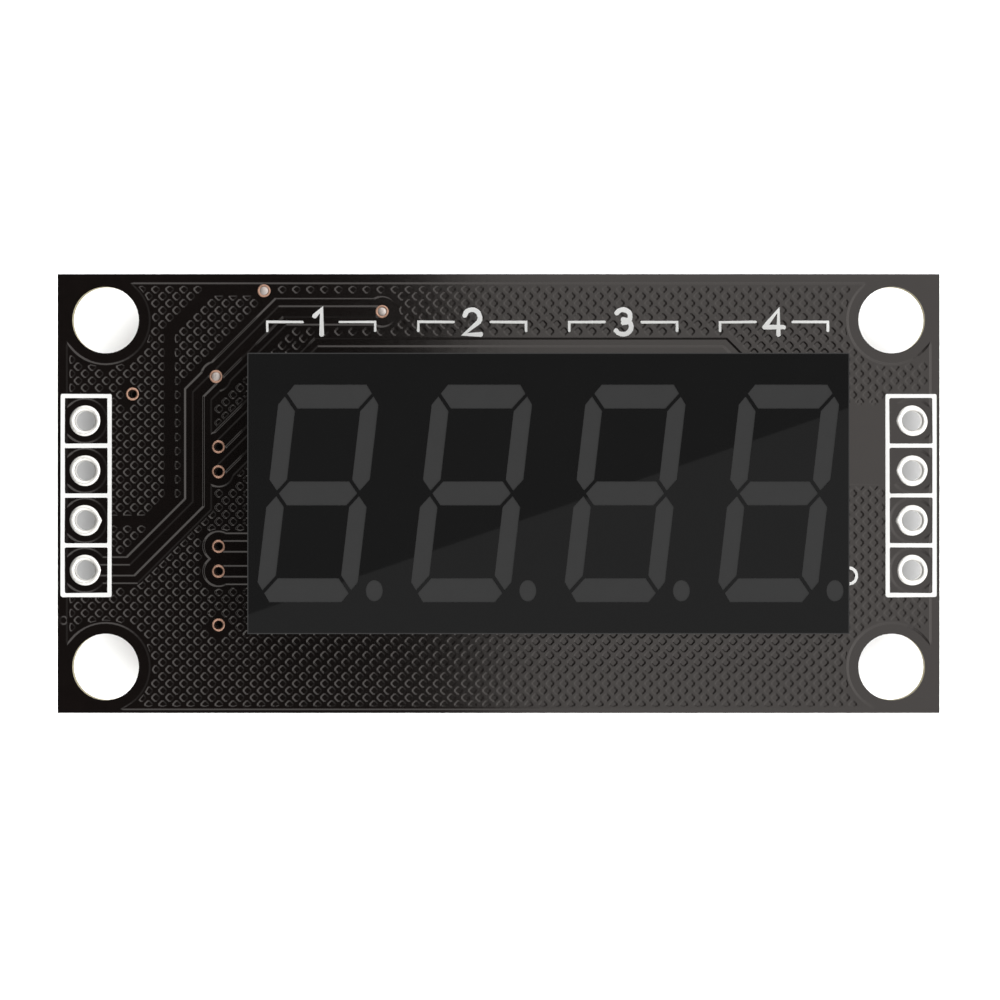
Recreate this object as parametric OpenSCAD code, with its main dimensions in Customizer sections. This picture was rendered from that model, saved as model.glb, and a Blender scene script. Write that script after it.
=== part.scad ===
// Four-digit seven segment display module on a carrier board.
// Sizes are in millimetres. X runs along the board, Y up the digits and Z out of the display's face.
// The origin lies under the middle of the board, level with the lowest part on the board's back.

/* [Digits] */
// Number of digits
digit_count = 4; // [4:1:6]
// Height of a digit
digit_h = 10.92; // [9:0.01:12]
// Width of a digit, measured without its lean
digit_w = 5.04; // [4:0.01:6]
// Room between one digit and the next
digit_space = 2.66; // [2:0.01:4]
// Thickness of the flat segments
bar_h = 1.21; // [0.8:0.01:1.5]
// Thickness of the upright segments
bar_w = 0.89; // [0.6:0.01:1.2]
// Gap between neighbouring segments
segment_gap = 0.16; // [0.1:0.01:0.3]
// Angle of the gaps where segments meet
mitre_angle = 51.5; // [45:0.5:58]
// Lean of the digits
lean_angle = 6.6; // [0:0.1:10]
// Length cut off each outer corner along the digit's top
corner_cut_x = 0.71; // [0.4:0.01:0.9]
// Length cut off each outer corner down the digit's side
corner_cut_y = 1.01; // [0.6:0.01:1.3]
// Width of a decimal point
dot_w = 0.86; // [0.6:0.01:1.1]
// Height of a decimal point
dot_h = 1.08; // [0.8:0.01:1.3]
// Gap from a digit's side to its decimal point
dot_gap = 0.44; // [0.3:0.01:0.7]
// Height of a decimal point's middle over the digit's foot
dot_rise = 0.58; // [0.5:0.01:1]

/* [Display] */
// Height of the housing
display_h = 7.2; // [6:0.1:9]
// Housing wall beside the last decimal point
end_wall = 0.295; // [0.2:0.005:0.8]
// Housing face above and below the digits
side_wall = 1.59; // [1.2:0.01:3]
// Thickness of the housing's skirt
shell_t = 0.5; // [0.4:0.05:0.8]
// Bevel round the housing's face
face_bevel = 0.05; // [0.03:0.01:0.25]
// Depth of the windows below the face
window_recess = 0.04; // [0.02:0.01:0.1]
// Thickness of the diode board
diode_board_t = 0.8; // [0.6:0.1:1.2]
// Play round the diode board and round the pins in it
diode_board_play = 0.05; // [0.02:0.01:0.1]
// Depth of the resin behind the diode board
potting_t = 1; // [0.6:0.1:1.4]
// Height of the skirt's rim over that resin
potting_recess = 0.3; // [0.2:0.05:0.6]
// Pins in each row
pin_count = 6; // [4:1:7]
// Distance from pin to pin
pin_pitch = 2.54; // [2.3:0.01:2.6]
// Distance between the two rows of pins
pin_row_span = 10.16; // [9:0.01:11]
// Diameter of a pin
pin_d = 0.5; // [0.4:0.01:0.6]
// Length of a pin below the board
pin_reach = 2.1; // [1.6:0.1:2.4]
// Bevel round a pin's tip
tip_bevel = 0.1; // [0.05:0.01:0.2]
// Width of a light diode
diode_w = 0.24; // [0.2:0.01:0.3]
// Height of a light diode
diode_h = 0.12; // [0.1:0.01:0.2]
// Thickness of a bond wire
wire_t = 0.04; // [0.02:0.01:0.06]
// Height of a bond wire over its diode
wire_rise = 0.1; // [0.06:0.01:0.2]
// Distance that a bond wire spans
wire_span = 0.38; // [0.3:0.01:0.42]

/* [Board] */
// Thickness of the board
board_t = 1.6; // [1:0.1:2]
// Board to the left of the display
left_strip = 9.9; // [9.4:0.1:14]
// Board to the right of the display
right_strip = 4.9; // [4.4:0.1:8]
// Board above and below the display
side_strip = 4.15; // [4:0.05:7]
// Rise of the lacquered copper over the bare board
copper_t = 0.05; // [0.03:0.01:0.08]
// Bare margin between the copper and the board's edge
copper_margin = 0.5; // [0.3:0.05:0.7]
// The same along the board's lower edge
low_copper_margin = 0.22; // [0.2:0.02:0.7]

/* [Mounting holes] */
// Diameter of the mounting holes
mount_hole_d = 3.4; // [2.5:0.1:3.6]
// Distance of the mounting holes from the board's ends
mount_inset_x = 2.45; // [2.3:0.05:2.8]
// Distance of the mounting holes from the board's long edges
mount_inset_y = 2.35; // [2.2:0.05:2.6]
// Bare ring round each mounting hole
mount_bare = 0.58; // [0.3:0.01:0.8]

/* [Headers] */
// Holes in each header row
header_count = 4; // [3:1:5]
// Distance from hole to hole
header_pitch = 2.54; // [2.4:0.01:2.6]
// Distance of the header rows from the board's ends
header_inset = 1.4; // [1.3:0.05:1.6]
// Shift of the header rows from the board's middle
header_shift = -0.1; // [-0.3:0.05:0.3]
// Diameter of a header hole inside its plating
header_hole_d = 1.02; // [0.9:0.01:1.1]
// Diameter of a header pad
header_pad_d = 1.6; // [1.5:0.01:1.8]
// Thickness of the plating in the holes
plating_t = 0.05; // [0.02:0.01:0.07]
// Rise of a tinned pad over the bare board
pad_rise = 0.06; // [0.04:0.01:0.1]
// Bare gap round a pad or a via
pad_gap = 0.35; // [0.2:0.01:0.4]
// Width of the white box round a header row
header_box_w = 2.6; // [2.4:0.05:2.8]
// Shift of the white boxes towards the board's middle
header_box_shift = 0.06; // [0:0.01:0.1]

/* [Print] */
// Thickness of the white print
print_t = 0.03; // [0.02:0.01:0.05]
// Width of the white lines
print_w = 0.21; // [0.15:0.01:0.3]
// Diameter of the small ring beside the display
ring_d = 0.98; // [0.9:0.01:1.2]
// Width of that ring's line
ring_line_w = 0.15; // [0.1:0.01:0.3]
// Middle of the ring from the display's right side
ring_gap = 0.25; // [0.1:0.01:0.5]
// Middle of the ring below the board's middle
ring_drop = 4.2; // [3.5:0.05:5]
// Gap between the printed ring and the housing that cuts it
ring_play = 0.02; // [0.01:0.01:0.1]
// Length of the lines at the driver's ends
end_line_l = 5; // [3:0.1:6]
// Gap between a printed line and the chip that it marks
end_line_gap = 0.3; // [0.2:0.05:0.4]
// Diameter of the dot at the driver's first lead
lead_mark_d = 0.7; // [0.4:0.05:0.8]
// Distance of that dot from the first lead
lead_mark_rise = 1.1; // [1:0.05:1.4]

/* [Tracks and vias] */
// Width of the wide front tracks
track_w = 0.5; // [0.3:0.01:0.6]
// Bare gap beside the wide tracks
track_gap = 0.44; // [0.2:0.01:0.5]
// Width of the fine tracks on the back
fine_track_w = 0.3; // [0.2:0.01:0.34]
// Bare gap beside the fine tracks
fine_track_gap = 0.22; // [0.15:0.01:0.25]
// Diameter of a via's hole
via_hole_d = 0.4; // [0.3:0.01:0.44]
// Diameter of a via's ring
via_pad_d = 0.7; // [0.66:0.01:0.8]
// Diameter of the display's holes inside their plating
display_hole_d = 0.8; // [0.7:0.01:0.9]
// Diameter of the display's pads
display_pad_d = 1.5; // [1.3:0.01:1.6]
// Height of the solder cones on the back
solder_cone_h = 1.1; // [0.8:0.05:1.4]
// Height of the solder's rim on the front
solder_rim_h = 0.15; // [0.05:0.01:0.2]
// Bare ring of pad or pin beyond the solder
solder_skin = 0.03; // [0.01:0.01:0.06]

/* [Places of the vias and tracks] */
// Column of vias from the display's left side
via_column_gap = 1.69; // [1.6:0.01:1.8]
// Lowest via from the board's lower edge
low_via_inset = 4.5; // [4.3:0.05:4.8]
// Via beside the left header from the display's left side
left_via_gap = 6.08; // [5.8:0.01:6.3]
// That via from the first header hole
left_via_rise = 1.37; // [1.2:0.01:1.5]
// Via under the housing from the display's left side
jumper_via_reach = 2.3; // [2:0.05:2.6]
// Gap between that via's ring and the housing's skirt
jumper_via_play = 0.15; // [0.1:0.01:0.2]
// Supply via from the display's left side
supply_via_gap = 1.82; // [1.7:0.01:1.9]
// Supply via from the driver's middle
supply_via_rise = 5.49; // [5.3:0.01:5.6]
// Ground via from the display's left side
ground_via_reach = 0.63; // [0.4:0.01:0.9]
// Ground via from the board's upper edge
ground_via_inset = 0.86; // [0.85:0.01:0.95]
// Supply track's last via from the display's left side
end_via_reach = 6.65; // [6:0.05:7]
// Supply track's upper stretch from the board's upper edge
supply_lane_inset = 1.92; // [1.85:0.01:2]
// Supply track's upright stretch from the display's left side
supply_lane_gap = 2.73; // [2.65:0.01:2.85]
// Width of the supply track's slanted stretch
supply_slant = 3.37; // [3:0.01:3.6]
// Track along the housing from the housing's long side
rim_lane_gap = 0.19; // [0.1:0.01:0.25]
// Upright stretch of that track from the last pin
rim_reach = 3.15; // [3:0.05:3.4]
// Width of that track's upper corner
rim_corner = 0.65; // [0.5:0.05:0.8]
// Width of that track's lower corner
rim_turn = 0.9; // [0.7:0.05:1]
// Second display track's lane from the upper row of pins
second_lane_drop = 2.2; // [2:0.05:2.4]
// Length of the right header's tracks under the display
header_track_reach = 2; // [1.5:0.1:2.5]

/* [Driver chip] */
// Length of the driver's body
driver_l = 12.8; // [12.4:0.1:13.2]
// Width of the driver's body
driver_w = 7.5; // [7:0.1:7.8]
// Height of the driver's body
driver_h = 2.3; // [2:0.05:2.5]
// Gap between the driver and the board
driver_gap = 0.15; // [0.1:0.01:0.3]
// Slope of the driver's sides, as a width
driver_draft = 0.14; // [0.05:0.01:0.25]
// Middle of the driver from the display's left side
driver_shift_x = 0.1; // [-0.4:0.05:0.6]
// Middle of the driver from the board's middle
driver_shift_y = 0.48; // [0:0.01:0.8]
// Leads on each side of the driver
lead_count = 10; // [9:1:10]
// Distance from lead to lead
lead_pitch = 1.27; // [1.2:0.01:1.28]
// Width of a lead
lead_w = 0.4; // [0.3:0.01:0.5]
// Thickness of a lead
lead_t = 0.25; // [0.15:0.01:0.3]
// Reach of a lead beyond the driver's body
lead_reach = 1.4; // [1.3:0.05:1.6]
// Length of a lead's foot
lead_foot = 0.7; // [0.6:0.05:0.8]
// Length of a lead inside the body
lead_root = 0.3; // [0.2:0.05:0.8]
// Length of a lead's level stretch outside the body
lead_level_l = 0.25; // [0.15:0.01:0.3]
// Width of a solder pad under a lead
lead_pad_w = 0.6; // [0.54:0.01:0.7]
// Solder beyond a lead's toe and heel
lead_toe = 0.4; // [0.2:0.05:0.5]
// Thickness of solder under leads and chips
solder_t = 0.08; // [0.06:0.01:0.12]
// Rise of the solder up a lead's foot
solder_climb = 0.08; // [0.04:0.01:0.12]
// Diameter of the mark moulded at the first lead
mark_d = 1; // [0.8:0.1:1.4]
// Depth of that mark
mark_depth = 0.08; // [0.05:0.01:0.15]
// Middle of that mark from the body's sides
mark_inset = 1.2; // [1:0.1:1.6]

/* [Resistors and capacitors] */
// Length of the small chips
chip_l = 1.6; // [1.4:0.05:1.8]
// Width of the small chips
chip_w = 0.8; // [0.7:0.05:1]
// Height of a resistor
resistor_h = 0.45; // [0.35:0.05:0.6]
// Height of a small capacitor
capacitor_h = 0.8; // [0.6:0.05:0.9]
// Length of the large capacitor
bulk_l = 2; // [1.8:0.05:2.4]
// Width of the large capacitor
bulk_w = 1.25; // [1:0.05:1.4]
// Height of the large capacitor
bulk_h = 1.1; // [0.8:0.05:1.4]
// Length of a chip's metal ends
cap_l = 0.35; // [0.25:0.01:0.45]
// Thickness of a chip's metal ends
cap_t = 0.03; // [0.02:0.01:0.05]
// Solder beyond a chip's end
chip_toe = 0.4; // [0.3:0.05:0.6]
// Distance of the chips' column from the board's right end
chip_inset = 6; // [5.4:0.1:7]
// Distance of the two supply capacitors from the driver's ends
supply_space = 1.7; // [1.5:0.05:1.8]

/* [Hidden] */
$fn = 48;
// Room for a cut to run past the face that it opens
past = 1;

// Outline of one digit, from its middle
outer_x = digit_w / 2;
inner_x = outer_x - bar_w;
middle_x = outer_x - bar_w / 2;
outer_y = digit_h / 2;
inner_y = outer_y - bar_h;
mitre_run = tan(mitre_angle);
half_gap_x = segment_gap / 2 / sin(mitre_angle);
half_gap_y = segment_gap / 2 / cos(mitre_angle);
cut_slope = corner_cut_y / corner_cut_x;
shoulder_y = half_gap_y + bar_w / 2 * mitre_run;
middle_end_x = middle_x - half_gap_x - bar_h / 2 / mitre_run;
dot_x = outer_x + dot_gap + dot_w / 2;
dot_y = dot_rise - outer_y;
dot_points = 32;

// Display
digit_pitch = digit_w + digit_space;
dot_reach = dot_x + dot_w / 2 + dot_y * tan(lean_angle);
bar_reach = outer_x + (outer_y - corner_cut_y) * tan(lean_angle);
display_w = (digit_count - 1) * digit_pitch + 2 * (max(dot_reach, bar_reach) + end_wall);
display_d = digit_h + 2 * side_wall;

// Board
board_w = left_strip + display_w + right_strip;
board_d = display_d + 2 * side_strip;
display_left = left_strip - board_w / 2;
display_right = display_left + display_w;
display_x = display_left + display_w / 2;
mount_x = board_w / 2 - mount_inset_x;
mount_y = board_d / 2 - mount_inset_y;
header_x = board_w / 2 - header_inset;
header_box_x = header_x - header_box_shift;
pin_row_y = pin_row_span / 2;

// Levels, from the lowest part on the back to the display's face
back_z = max(driver_gap + driver_h, pin_reach);
front_z = back_z + board_t;
seat_z = front_z + copper_t;
potting_z = seat_z + potting_recess;
diode_board_z = potting_z + potting_t;
block_z = diode_board_z + diode_board_t;
face_z = seat_z + display_h;

// Driver
driver_x = display_left + driver_shift_x;
driver_y = driver_shift_y;
lead_tip = driver_w / 2 + lead_reach;
lead_bend = lead_tip - lead_foot;
lead_shoulder = driver_w / 2 + lead_level_l;
lead_z = driver_gap + driver_h / 2;
foot_z = solder_t + lead_t / 2;
lead_pad_x = [lead_bend - lead_toe, lead_tip + lead_toe];

function header_y(i) = header_shift + ((header_count - 1) / 2 - i) * header_pitch;
function lead_y(i) = driver_y + ((lead_count - 1) / 2 - i) * lead_pitch;
function pin_x(i) = display_x + (i - (pin_count - 1) / 2) * pin_pitch;

header_places = [for (side = [-1, 1], i = [0 : header_count - 1]) [side * header_x, header_y(i)]];
pin_places = [for (side = [-1, 1], i = [0 : pin_count - 1]) [pin_x(i), side * pin_row_y]];
mount_places = [for (sx = [-1, 1], sy = [-1, 1]) [sx * mount_x, sy * mount_y]];

// Vias: four carry the display's tracks to the driver's leads, the rest carry supply and ground
via_column = display_left - via_column_gap;
display_via_leads = [3, 4, 7, 8];
supply_via = [display_left - supply_via_gap, driver_y + supply_via_rise];
supply_lane_y = board_d / 2 - supply_lane_inset;
end_via = [display_left + end_via_reach, supply_lane_y];
ground_via = [display_left + ground_via_reach, board_d / 2 - ground_via_inset];
jumper_via = [display_left + jumper_via_reach, display_d / 2 - shell_t - via_pad_d / 2 - jumper_via_play];
left_via = [display_left - left_via_gap, header_y(0) + left_via_rise];
low_via = [via_column, low_via_inset - board_d / 2];
filled_via_places = [supply_via, end_via, ground_via];
track_via_places = concat([for (i = display_via_leads) [via_column, lead_y(i)]], [jumper_via]);
// The last two join the chips' ground ends on the back to the front ground
open_via_places = concat(track_via_places, [left_via, low_via]);
via_places = concat(open_via_places, filled_via_places);

// Front tracks, each a list of corners
lane_x = display_left - supply_lane_gap;
rim_lane_y = display_d / 2 + rim_lane_gap;
last_pin_x = pin_x(pin_count - 1);
supply_pad_y = header_y(header_count - 1);
supply_track = [
    [-header_x, supply_pad_y],
    [lane_x - supply_slant, supply_pad_y],
    [lane_x, supply_pad_y + supply_slant],
    [lane_x, supply_via[1] - (supply_via[0] - lane_x)],
    supply_via,
    [supply_via[0] + supply_lane_y - supply_via[1], supply_lane_y],
    end_via
];
rim_track = [
    jumper_via,
    [jumper_via[0] + rim_lane_y - jumper_via[1], rim_lane_y],
    [last_pin_x + rim_reach - rim_corner, rim_lane_y],
    [last_pin_x + rim_reach, rim_lane_y - rim_corner],
    [last_pin_x + rim_reach, pin_row_y + rim_turn],
    [last_pin_x + rim_reach - rim_turn, pin_row_y],
    [last_pin_x, pin_row_y]
];
upper_via_y = lead_y(display_via_leads[0]);
second_via_y = lead_y(display_via_leads[1]);
third_via_y = lead_y(display_via_leads[2]);
lower_via_y = lead_y(display_via_leads[3]);
second_lane_y = pin_row_y - second_lane_drop;
display_tracks = [
    [
        [via_column, upper_via_y],
        [via_column + pin_row_y - upper_via_y, pin_row_y],
        [pin_x(0), pin_row_y]
    ],
    [
        [via_column, second_via_y],
        [via_column + second_lane_y - second_via_y, second_lane_y],
        [pin_x(1) - pin_row_y + second_lane_y, second_lane_y],
        [pin_x(1), pin_row_y]
    ],
    [
        [via_column, third_via_y],
        [pin_x(1) - pin_row_y - third_via_y, third_via_y],
        [pin_x(1), -pin_row_y]
    ],
    [
        [via_column, lower_via_y],
        [pin_x(0) - pin_row_y - lower_via_y, lower_via_y],
        [pin_x(0), -pin_row_y]
    ]
];
header_tracks = [for (i = [0, 1]) [[header_x, header_y(i)], [display_right - header_track_reach, header_y(i)]]];
front_tracks = concat([supply_track, rim_track], display_tracks, header_tracks);

// Chips on the back: place, then length, width and height
chip_x = board_w / 2 - chip_inset;
bulk_y = driver_y + driver_l / 2 + supply_space;
decoupler_y = driver_y - driver_l / 2 - supply_space;
resistors = [for (i = [0 : 1]) [[chip_x, header_y(i)], [chip_l, chip_w, resistor_h]]];
capacitors = concat(
    [for (i = [2 : header_count - 1]) [[chip_x, header_y(i)], [chip_l, chip_w, capacitor_h]]],
    [[[driver_x, decoupler_y], [chip_l, chip_w, capacitor_h]]],
    [[[driver_x, bulk_y], [bulk_l, bulk_w, bulk_h]]]
);
chips = concat(resistors, capacitors);

// Back tracks: driver to display, driver to vias, headers to driver, and headers to the line chips
upper_leads = [2, 3, 4];
lower_leads = [6, 7, 8];
driver_pad_x = driver_x + lead_bend;
function fan(lead, pin, side) = let (y = lead_y(lead))
    [[driver_pad_x, y], [pin_x(pin) - abs(side * pin_row_y - y), y], [pin_x(pin), side * pin_row_y]];
function diagonal(from, y) = [from[0] + abs(y - from[1]), y];
back_tracks = concat(
    [for (k = [0 : 2]) fan(upper_leads[k], 2 + k, 1)],
    [for (k = [0 : 2]) fan(lower_leads[k], 4 - k, -1)],
    [for (i = display_via_leads) [[driver_x - lead_bend, lead_y(i)], [via_column, lead_y(i)]]],
    [for (pair = [[0, 2], [1, 5]]) let (start = [-header_x, header_y(pair[0])])
        [start, diagonal(start, lead_y(pair[1])), [driver_x - lead_bend, lead_y(pair[1])]]],
    [for (i = [0 : header_count - 1]) [[header_x, header_y(i)], [chip_x, header_y(i)]]],
    [[end_via, [end_via[0] - end_via[1] + bulk_y, bulk_y], [driver_x, bulk_y]]]
);

// A strip of constant width along a list of corners, with mitred bends
function left_of(a, b) = let (d = (b - a) / norm(b - a)) [-d[1], d[0]];
function bend_side(points, i) =
    i == 0 ? left_of(points[0], points[1])
    : i == len(points) - 1 ? left_of(points[i - 1], points[i])
    : let (before = left_of(points[i - 1], points[i]), after = left_of(points[i], points[i + 1]))
        (before + after) / (1 + before * after);
function strip(points, width) = concat(
    [for (i = [0 : len(points) - 1]) points[i] + bend_side(points, i) * width / 2],
    [for (i = [len(points) - 1 : -1 : 0]) points[i] - bend_side(points, i) * width / 2]
);

// Where a corner gap meets the slanted corner: side is -1 on the flat segment and 1 on the upright one
function corner_tip(side) =
    let (
        reach = (outer_y - inner_y + cut_slope * (outer_x - corner_cut_x)) / mitre_run,
        x = (inner_x + side * half_gap_x + reach) / (1 + cut_slope / mitre_run)
    )
    [x, outer_y - cut_slope * (x - outer_x + corner_cut_x)];
function flip(points, sx, sy) = [for (p = points) [p[0] * sx, p[1] * sy]];
function both_ways(points) = concat(points, [for (i = [len(points) - 1 : -1 : 0]) [-points[i][0], points[i][1]]]);
function lean(p) = [p[0] + p[1] * tan(lean_angle), p[1]];

top_bar = both_ways([[outer_x - corner_cut_x, outer_y], corner_tip(-1), [inner_x - half_gap_x, inner_y]]);
upright_bar = [
    corner_tip(1),
    [outer_x, outer_y - corner_cut_y],
    [outer_x, shoulder_y],
    [middle_x, half_gap_y],
    [inner_x, shoulder_y],
    [inner_x, inner_y - half_gap_y]
];
middle_bar = both_ways([[middle_end_x, bar_h / 2], [middle_x - half_gap_x, 0], [middle_end_x, -bar_h / 2]]);
bars = concat(
    [top_bar, flip(top_bar, 1, -1), middle_bar],
    [for (sx = [-1, 1], sy = [-1, 1]) flip(upright_bar, sx, sy)]
);
dot_outline = [
    for (i = [0 : dot_points - 1])
        lean([dot_x, dot_y]) + [cos(i * 360 / dot_points) * dot_w, sin(i * 360 / dot_points) * dot_h] / 2
];
window_outlines = concat([for (bar = bars) [for (p = bar) lean(p)]], [dot_outline]);
upright_y = (outer_y + half_gap_y) / 2;
// The middle of each window and the direction in which its bond wire runs
diode_places = concat(
    [for (y = [outer_y - bar_h / 2, bar_h / 2 - outer_y, 0]) [lean([0, y]), 0]],
    [for (sx = [-1, 1], sy = [-1, 1]) [lean([sx * middle_x, sy * upright_y]), 90]],
    [[lean([dot_x, dot_y]), 90]]
);

module at_places(places) {
    for (p = places) translate([p[0], p[1], 0]) children();
}

module at_digits() {
    for (i = [0 : digit_count - 1])
        translate([display_x + (i - (digit_count - 1) / 2) * digit_pitch, 0, 0]) children();
}

// Turns a shape that is drawn upwards so that it hangs from the board's back
module on_back() {
    translate([0, 0, back_z]) mirror([0, 0, 1]) children();
}

module strips(tracks, width) {
    for (points = tracks) polygon(strip(points, width));
}

module centred_box(size) {
    translate([-size[0] / 2, -size[1] / 2, 0]) cube(size);
}

// A plated barrel through the board, with a ring on both faces
module barrel(hole_d, pad_d) {
    hole_r = hole_d / 2;
    wall_r = hole_r + plating_t;
    pad_r = pad_d / 2;
    translate([0, 0, back_z]) rotate_extrude() polygon([
        [hole_r, -pad_rise], [pad_r, -pad_rise], [pad_r, 0], [wall_r, 0], [wall_r, board_t],
        [pad_r, board_t], [pad_r, board_t + pad_rise], [hole_r, board_t + pad_rise]
    ]);
}

module drill(hole_d) {
    translate([0, 0, back_z - past]) cylinder(d = hole_d, h = board_t + 2 * past);
}

module laminate_board() {
    color("#1b191b") difference() {
        translate([0, 0, back_z]) centred_box([board_w, board_d, board_t]);
        at_places(mount_places) drill(mount_hole_d);
        at_places(header_places) drill(header_hole_d + 2 * plating_t);
        at_places(pin_places) drill(display_hole_d + 2 * plating_t);
        at_places(via_places) drill(via_hole_d + 2 * plating_t);
    }
}

// The sheet of ground copper on either face, without the board's margin and mounting holes
module ground_sheet() {
    difference() {
        translate([copper_margin - board_w / 2, low_copper_margin - board_d / 2])
            square([board_w - 2 * copper_margin, board_d - copper_margin - low_copper_margin]);
        at_places(mount_places) circle(d = mount_hole_d + 2 * mount_bare);
        for (p = mount_places) polygon([p, [p[0], 2 * p[1]], 2 * p, [2 * p[0], p[1]]]);
    }
}

module pad_rings() {
    at_places(header_places) circle(d = header_pad_d);
    at_places(pin_places) circle(d = display_pad_d);
    at_places(via_places) circle(d = via_pad_d);
}

module pad_clearings() {
    at_places(header_places) circle(d = header_pad_d + 2 * pad_gap);
    at_places(pin_places) circle(d = display_pad_d + 2 * pad_gap);
}

module front_copper() {
    color("#242124") translate([0, 0, front_z]) linear_extrude(copper_t) difference() {
        union() {
            difference() {
                ground_sheet();
                pad_clearings();
                strips(front_tracks, track_w + 2 * track_gap);
                at_places(concat(track_via_places, [supply_via, end_via])) circle(d = via_pad_d + 2 * track_gap);
            }
            strips(front_tracks, track_w);
        }
        pad_rings();
    }
}

// The places of the solder under the driver's leads and the chips' ends
module solder_prints(grow) {
    for (side = [-1, 1], i = [0 : lead_count - 1])
        translate([driver_x + side * (lead_pad_x[0] + lead_pad_x[1]) / 2, lead_y(i)])
            square([lead_pad_x[1] - lead_pad_x[0] + 2 * grow, lead_pad_w + 2 * grow], center = true);
    for (c = chips, side = [-1, 1])
        translate(c[0] + [side * (c[1][0] / 2 + (chip_toe - cap_l) / 2), 0])
            square([cap_l + chip_toe + 2 * grow, c[1][1] + 2 * grow], center = true);
}

module back_copper() {
    color("#242124") on_back() linear_extrude(copper_t) difference() {
        union() {
            difference() {
                ground_sheet();
                pad_clearings();
                strips(back_tracks, fine_track_w + 2 * fine_track_gap);
                at_places(concat(open_via_places, [supply_via, end_via])) circle(d = via_pad_d + 2 * fine_track_gap);
                solder_prints(fine_track_gap);
            }
            strips(back_tracks, fine_track_w);
        }
        pad_rings();
        solder_prints(0);
    }
}

// A white box round one header row, with a line between its holes
module header_box() {
    inside_w = header_box_w - 2 * print_w;
    inside_h = header_pitch - print_w;
    difference() {
        translate([-header_box_w / 2, header_y(header_count - 1) - (header_pitch + print_w) / 2])
            square([header_box_w, header_count * header_pitch + print_w]);
        for (i = [0 : header_count - 1])
            translate([0, header_y(i)]) square([inside_w, inside_h], center = true);
    }
}

// The housing covers part of the small ring
module front_print() {
    color("white") translate([0, 0, seat_z]) linear_extrude(print_t) {
        for (side = [-1, 1]) translate([side * header_box_x, 0]) header_box();
        difference() {
            translate([display_right + ring_gap, -ring_drop]) circle(d = ring_d);
            translate([display_right + ring_gap, -ring_drop]) circle(d = ring_d - 2 * ring_line_w);
            translate([display_left, -board_d / 2]) square([display_w + ring_play, board_d]);
        }
    }
}

module back_print() {
    color("white") on_back() translate([0, 0, copper_t]) linear_extrude(print_t) {
        for (side = [-1, 1]) translate([driver_x, driver_y + side * (driver_l / 2 + end_line_gap)])
            square([end_line_l, print_w], center = true);
        translate([driver_x - lead_tip, lead_y(0) + lead_mark_rise]) circle(d = lead_mark_d);
        for (c = chips, side = [-1, 1])
            translate(c[0] + [0, side * (c[1][1] / 2 + end_line_gap)])
                square([c[1][0] - 2 * cap_l, print_w / 2], center = true);
    }
}

module header_pads() {
    color("#d9d6d0") at_places(header_places) barrel(header_hole_d, header_pad_d);
}

module open_vias() {
    color("#b08060") at_places(open_via_places) barrel(via_hole_d, via_pad_d);
}

// These vias are closed by solder
module filled_vias() {
    color("#d8c8b8") translate([0, 0, back_z]) at_places(filled_via_places) rotate_extrude() polygon([
        [0, -pad_rise], [via_pad_d / 2, -pad_rise], [via_pad_d / 2, 0], [via_hole_d / 2 + plating_t, 0],
        [via_hole_d / 2 + plating_t, board_t], [via_pad_d / 2, board_t],
        [via_pad_d / 2, board_t + pad_rise], [0, board_t + pad_rise]
    ]);
}

module display_pads() {
    color("#b08060") at_places(pin_places) barrel(display_hole_d, display_pad_d);
}

// A block with a bevel round its top edges
module bevelled_block(size, bevel) {
    profile_x = [
        [-size[0] / 2, 0], [size[0] / 2, 0], [size[0] / 2, size[2] - bevel],
        [size[0] / 2 - bevel, size[2]], [bevel - size[0] / 2, size[2]], [-size[0] / 2, size[2] - bevel]
    ];
    profile_y = [
        [-size[1] / 2, 0], [size[1] / 2, 0], [size[1] / 2, size[2] - bevel],
        [size[1] / 2 - bevel, size[2]], [bevel - size[1] / 2, size[2]], [-size[1] / 2, size[2] - bevel]
    ];
    intersection() {
        rotate([90, 0, 0]) linear_extrude(size[1] + past, center = true) polygon(profile_x);
        rotate([90, 0, 90]) linear_extrude(size[0] + past, center = true) polygon(profile_y);
    }
}

module window_prisms(depth) {
    translate([0, 0, block_z]) at_digits()
        for (outline = window_outlines) linear_extrude(depth) polygon(outline);
}

module display_housing() {
    inside = [display_w - 2 * shell_t, display_d - 2 * shell_t, block_z - seat_z + past];
    color("#1a1a1a") difference() {
        translate([display_x, 0, seat_z]) bevelled_block([display_w, display_d, display_h], face_bevel);
        translate([display_x, 0, seat_z - past]) centred_box(inside);
        window_prisms(face_z - block_z + past);
    }
}

module diode_solids() {
    translate([0, 0, block_z]) at_digits() for (place = diode_places)
        translate(place[0]) centred_box([diode_w, diode_w, diode_h]);
}

// Each wire stands on its diode, crosses over and comes down on the diode board
module wire_solids() {
    translate([0, 0, block_z]) at_digits() for (place = diode_places)
        translate(place[0]) rotate(place[1]) {
            translate([0, 0, diode_h]) centred_box([wire_t, wire_t, wire_rise]);
            translate([-wire_t / 2, -wire_t / 2, diode_h + wire_rise - wire_t]) cube([wire_span, wire_t, wire_t]);
            translate([wire_span - 1.5 * wire_t, -wire_t / 2, 0]) cube([wire_t, wire_t, diode_h + wire_rise]);
        }
}

module segment_windows() {
    color("#3c3c3c") difference() {
        window_prisms(face_z - block_z - window_recess);
        diode_solids();
        wire_solids();
    }
}

module diode_board() {
    size = [
        display_w - 2 * (shell_t + diode_board_play), display_d - 2 * (shell_t + diode_board_play), diode_board_t
    ];
    color("#c9b458") difference() {
        translate([display_x, 0, diode_board_z]) centred_box(size);
        translate([0, 0, diode_board_z - past]) at_places(pin_places)
            cylinder(d = pin_d + 2 * diode_board_play, h = diode_board_t + 2 * past);
    }
}

module light_diodes() {
    color("#b8502c") diode_solids();
}

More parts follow.
